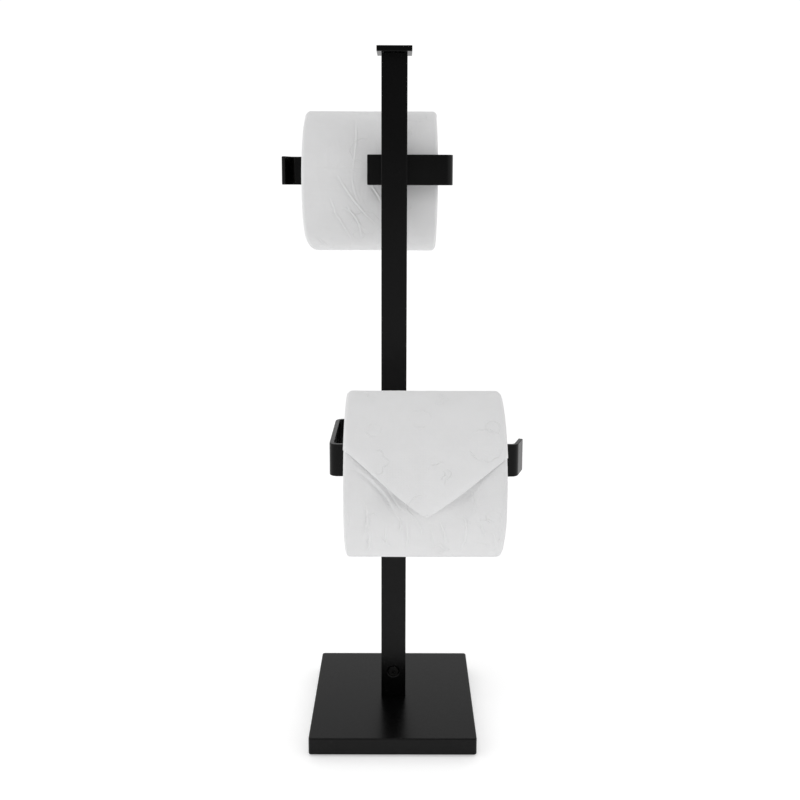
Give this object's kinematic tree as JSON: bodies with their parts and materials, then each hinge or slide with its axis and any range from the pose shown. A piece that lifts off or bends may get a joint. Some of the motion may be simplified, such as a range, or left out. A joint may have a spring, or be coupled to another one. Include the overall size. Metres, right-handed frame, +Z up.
{
  "type": "toilet paper holder",
  "caption": "Free-standing toilet paper holder: square weighted foot, flat post and two bent flat-bar arms with lipped ends, each with a roll that turns on its core.",
  "frame": {"origin": "on the floor, under the middle of the square foot plate", "axes": "+Z up along the post, +X along both roll axes, -Y towards the side of the lower arm"},
  "size_m": [0.1766, 0.2536, 0.5],
  "materials": {
    "black_coat": "satin black powder coat on steel",
    "black_screw": "black oxide steel",
    "plated_steel": "zinc plated",
    "rubber": "matte",
    "cardboard": "matte, spiral wound",
    "tissue": "soft matte, embossed"
  },
  "bodies": {
    "stand": {"base_plate": "black_coat", "post": "black_coat", "top_cap": "black_coat", "lower_arm": "black_coat", "upper_arm": "black_coat", "plate_screw_left": "black_screw", "plate_screw_right": "black_screw", "post_lock_screw": "black_screw", "lower_arm_screw_bottom": "black_screw", "lower_arm_screw_top": "black_screw", "upper_arm_screw_bottom": "black_screw", "upper_arm_screw_top": "black_screw", "post_spigot": "plated_steel", "lower_nut_plate": "plated_steel", "upper_nut_plate": "plated_steel", "foot_1": "rubber", "foot_2": "rubber", "foot_3": "rubber", "foot_4": "rubber"},
    "lower_roll": {"lower_roll_paper": "tissue", "lower_roll_core": "cardboard", "lower_roll_tail": "tissue"},
    "upper_roll": {"upper_roll_paper": "tissue", "upper_roll_core": "cardboard", "upper_roll_tail": "tissue"}
  },
  "joints": [
    {"name": "lower_roll_spin", "type": "hinge", "parent": "stand", "child": "lower_roll", "pos_m": [0.0204, -0.0714, 0.21338], "axis": [1, 0, 0], "continuous": true},
    {"name": "upper_roll_spin", "type": "hinge", "parent": "stand", "child": "upper_roll", "pos_m": [-0.0185, 0.0714, 0.40618], "axis": [1, 0, 0], "continuous": true}
  ]
}
